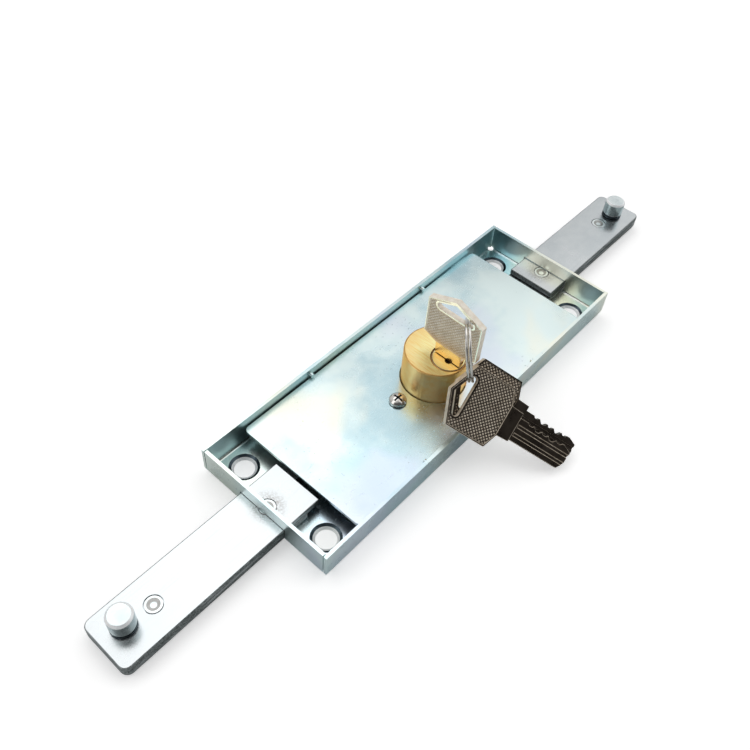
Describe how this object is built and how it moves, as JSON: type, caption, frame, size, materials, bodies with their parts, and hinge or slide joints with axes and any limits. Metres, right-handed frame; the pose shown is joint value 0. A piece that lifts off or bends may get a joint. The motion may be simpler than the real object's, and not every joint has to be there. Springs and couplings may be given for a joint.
{
  "type": "roller shutter lock",
  "caption": "Shallow steel tray with a cover and a brass key cylinder whose pinion draws in two flat end bars, with keys on a split ring.",
  "frame": {"origin": "centre of the tray's flat back face", "axes": "+X along the tray and bars, +Y across the tray away from the loose keys, +Z out of the tray's open side"},
  "size_m": [0.2711, 0.0847, 0.049],
  "materials": {
    "blue_zinc_sheet": "bright zinc plate with a pale blue passivation",
    "zinc_steel_bar": "dull zinc plate on flat bar",
    "brass": "turned, brushed face",
    "bright_steel": "bright plated",
    "plain_steel": "plain machined",
    "nickel_silver": "nickel plated, milled"
  },
  "bodies": {
    "case": {"case_tray": "blue_zinc_sheet", "cover_plate": "blue_zinc_sheet", "cover_screw": "bright_steel", "cover_pillar": "plain_steel", "cylinder_body": "brass", "fixing_screw_1": "bright_steel", "fixing_screw_2": "bright_steel", "fixing_sleeve_1": "plain_steel", "fixing_sleeve_2": "plain_steel", "driver_pin_1": "bright_steel", "driver_pin_2": "bright_steel", "driver_pin_3": "bright_steel", "driver_pin_4": "bright_steel", "driver_pin_5": "bright_steel", "pin_spring_1": "bright_steel", "pin_spring_2": "bright_steel", "pin_spring_3": "bright_steel", "pin_spring_4": "bright_steel", "pin_spring_5": "bright_steel", "chamber_cap_1": "brass", "chamber_cap_2": "brass", "chamber_cap_3": "brass", "chamber_cap_4": "brass", "chamber_cap_5": "brass"},
    "plug": {"cylinder_plug": "brass", "drive_pinion": "plain_steel", "plug_clip": "bright_steel", "inserted_key": "nickel_silver", "key_pin_1": "brass", "key_pin_2": "brass", "key_pin_3": "brass", "key_pin_4": "brass", "key_pin_5": "brass"},
    "left_bar": {"left_rack_bar": "zinc_steel_bar", "left_bar_doubler": "zinc_steel_bar", "left_outer_rivet": "zinc_steel_bar", "left_inner_rivet": "zinc_steel_bar", "left_end_pin": "zinc_steel_bar"},
    "right_bar": {"right_rack_bar": "zinc_steel_bar", "right_bar_doubler": "zinc_steel_bar", "right_outer_rivet": "zinc_steel_bar", "right_inner_rivet": "zinc_steel_bar", "right_end_pin": "zinc_steel_bar"},
    "ring": {"split_ring": "bright_steel"},
    "spare_1": {"spare_key_1": "nickel_silver"},
    "spare_2": {"spare_key_2": "nickel_silver"}
  },
  "joints": [
    {"name": "plug_turn", "type": "hinge", "parent": "case", "child": "plug", "pos_m": [0, -0.0091, 0], "axis": [0, 0, -1], "range_deg": [0, 90]},
    {"name": "left_draw", "type": "slide", "parent": "case", "child": "left_bar", "axis": [1, 0, 0], "range_m": [0, 0.01806]},
    {"name": "right_draw", "type": "slide", "parent": "case", "child": "right_bar", "axis": [-1, 0, 0], "range_m": [0, 0.01806]},
    {"name": "ring_lift", "type": "hinge", "parent": "plug", "child": "ring", "pos_m": [0, -0.012, 0.0415], "axis": [-0.9404, -0.3401, 0], "range_deg": [0, 25.2]},
    {"name": "spare_1_lift", "type": "hinge", "parent": "ring", "child": "spare_1", "pos_m": [-0.00154, -0.01719, 0.03401], "axis": [-0.595, 0.7781, -0.2014], "range_deg": [0, 45]},
    {"name": "spare_2_lift", "type": "hinge", "parent": "ring", "child": "spare_2", "pos_m": [-0.00154, -0.01719, 0.03401], "axis": [-0.595, 0.7781, -0.2014], "range_deg": [0, 36]}
  ],
  "couplings": [
    {"joint": "plug_turn", "follows": "left_draw", "rad_per_m": 86.957},
    {"joint": "right_draw", "follows": "left_draw", "ratio": 1},
    {"joint": "ring_lift", "follows": "left_draw", "rad_per_m": 24.348},
    {"joint": "spare_2_lift", "follows": "spare_1_lift", "ratio": 0.8}
  ]
}
